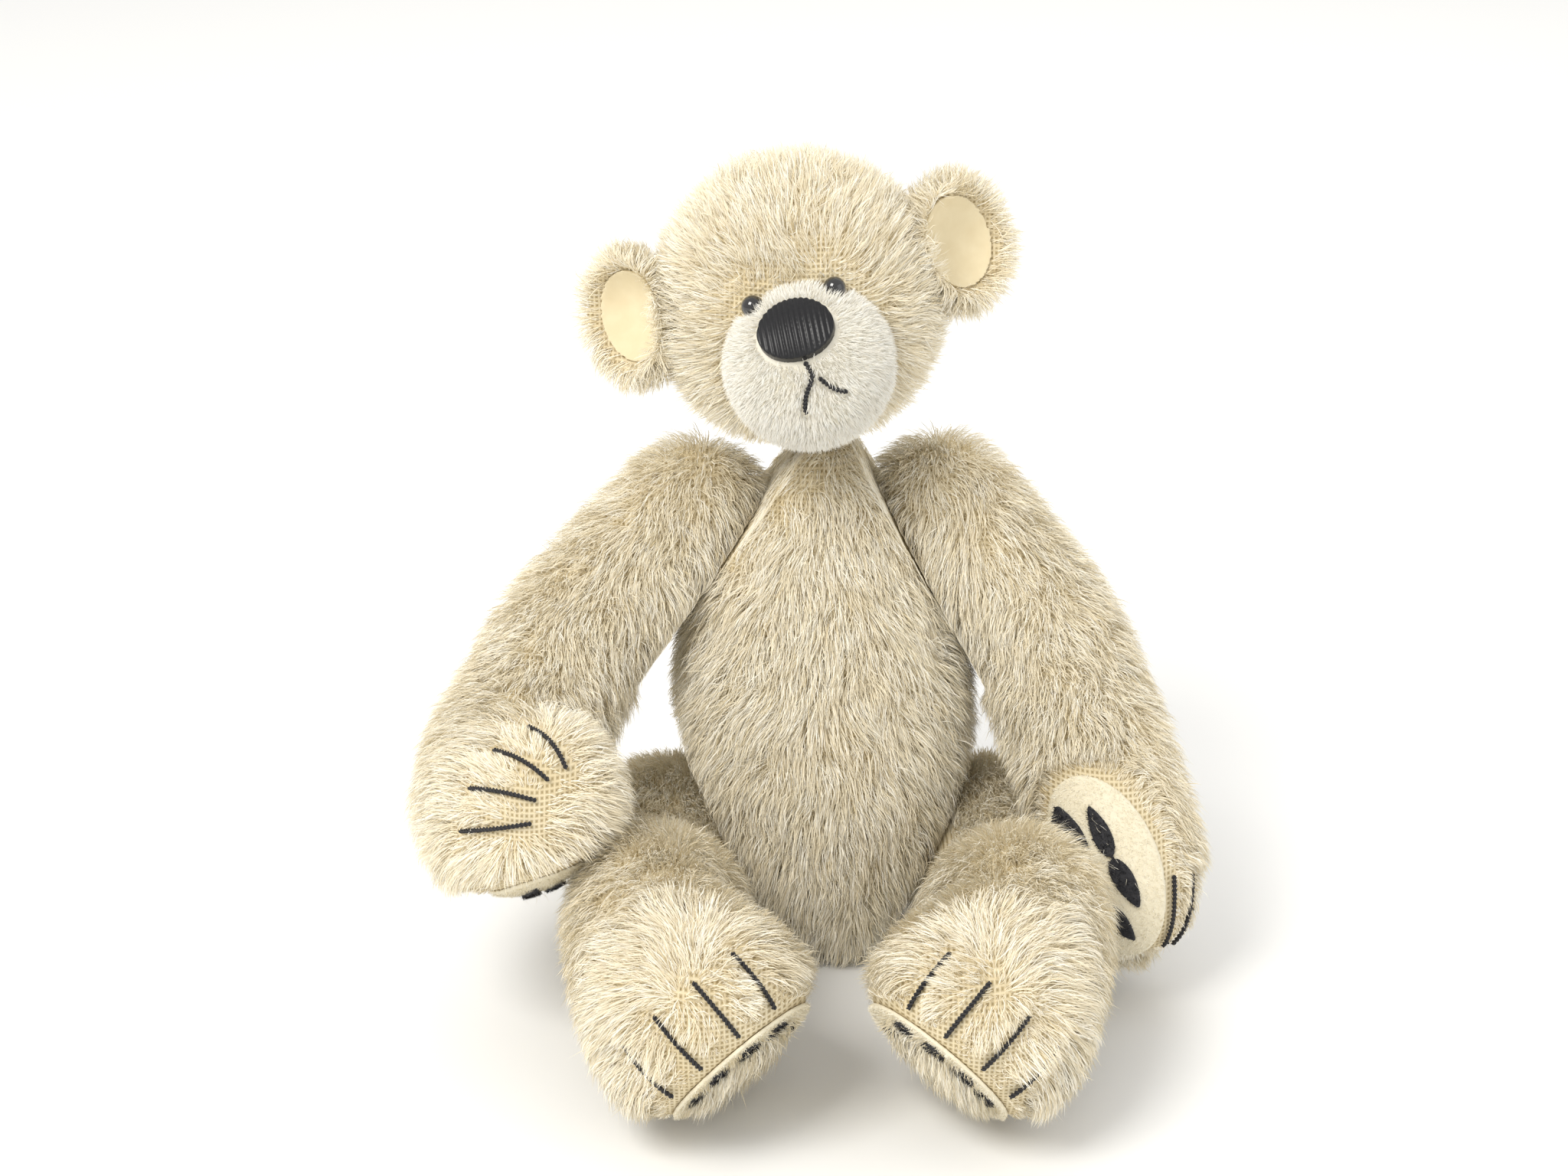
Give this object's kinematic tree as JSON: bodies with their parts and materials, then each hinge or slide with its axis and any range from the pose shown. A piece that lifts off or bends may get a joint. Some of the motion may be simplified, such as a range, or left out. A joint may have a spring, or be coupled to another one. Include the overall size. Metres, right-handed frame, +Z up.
{
  "type": "jointed teddy bear",
  "caption": "Small seated mohair bear with disc joints at neck, shoulders and hips, bead eyes, stitched nose and suede paw pads.",
  "frame": {"origin": "centre of the flat seat, on the surface the bear sits on", "axes": "+Z up, the bear faces -Y, its own left side is +X"},
  "size_m": [0.1036, 0.0949, 0.1078],
  "materials": {
    "mohair": "long sparse cream pile on a woven backing",
    "short_pile": "short clipped off-white pile",
    "ear_lining": "shaved pale cream pile",
    "palm_suede": "smooth cream ultrasuede",
    "pad_suede": "matt black ultrasuede",
    "nose_floss": "waxed black satin stitch",
    "thread": "black cotton embroidery thread",
    "black_glass": "polished opaque black glass bead",
    "filling": "polyester filling",
    "hardboard": "smooth hardboard",
    "steel": "plain steel"
  },
  "bodies": {
    "torso": {"torso_side_left": "mohair", "torso_side_right": "mohair", "torso_stuffing": "filling", "neck_disc_torso": "hardboard", "shoulder_disc_torso_left": "hardboard", "shoulder_disc_torso_right": "hardboard", "hip_disc_torso_left": "hardboard", "hip_disc_torso_right": "hardboard", "torso_washers": "steel", "shoulder_pins": "steel", "hip_pins": "steel"},
    "neck_link": {"neck_pin_lower": "steel"},
    "head": {"head_side_left": "mohair", "head_side_right": "mohair", "head_stuffing": "filling", "muzzle": "short_pile", "nose": "nose_floss", "mouth_stitches": "thread", "eye_left": "black_glass", "eye_right": "black_glass", "ear_back_left": "mohair", "ear_back_right": "mohair", "ear_lining_left": "ear_lining", "ear_lining_right": "ear_lining", "neck_disc_head": "hardboard", "neck_washer_head": "steel", "neck_pin_upper": "steel"},
    "arm_left": {"arm_left_skin": "mohair", "arm_left_stuffing": "filling", "arm_left_palm": "palm_suede", "arm_left_pads": "pad_suede", "arm_left_claws": "thread", "arm_left_disc": "hardboard", "arm_left_washer": "steel"},
    "leg_left": {"leg_left_skin": "mohair", "leg_left_stuffing": "filling", "leg_left_sole": "palm_suede", "leg_left_pads": "pad_suede", "leg_left_claws": "thread", "leg_left_disc": "hardboard", "leg_left_washer": "steel"},
    "arm_right": {"arm_right_skin": "mohair", "arm_right_stuffing": "filling", "arm_right_palm": "palm_suede", "arm_right_pads": "pad_suede", "arm_right_claws": "thread", "arm_right_disc": "hardboard", "arm_right_washer": "steel"},
    "leg_right": {"leg_right_skin": "mohair", "leg_right_stuffing": "filling", "leg_right_sole": "palm_suede", "leg_right_pads": "pad_suede", "leg_right_claws": "thread", "leg_right_disc": "hardboard", "leg_right_washer": "steel"}
  },
  "joints": [
    {"name": "head_swivel", "type": "hinge", "parent": "torso", "child": "neck_link", "pos_m": [-0.00312, 0.00623, 0.07116], "axis": [-0.0436, 0.0871, 0.9952], "continuous": true},
    {"name": "head_tilt", "type": "hinge", "parent": "neck_link", "child": "head", "pos_m": [-0.00312, 0.00623, 0.07116], "axis": [0, 0.9962, -0.0872], "range_deg": [-6, 27]},
    {"name": "arm_left_swing", "type": "hinge", "parent": "torso", "child": "arm_left", "pos_m": [0.01057, 0.00536, 0.05556], "axis": [-0.8788, -0.0416, -0.4753], "range_deg": [-3.5, 4]},
    {"name": "arm_right_swing", "type": "hinge", "parent": "torso", "child": "arm_right", "pos_m": [-0.0154, 0.00526, 0.05443], "axis": [-0.8141, 0.0506, 0.5785], "range_deg": [-18, 78]},
    {"name": "leg_left_swing", "type": "hinge", "parent": "torso", "child": "leg_left", "pos_m": [0.0142, -0.003, 0.0165], "axis": [-0.8829, 0, 0.4695], "range_deg": [-6, 1.5]},
    {"name": "leg_right_swing", "type": "hinge", "parent": "torso", "child": "leg_right", "pos_m": [-0.0142, -0.003, 0.0165], "axis": [-0.8829, 0, -0.4695], "range_deg": [-6, 1.5]}
  ]
}
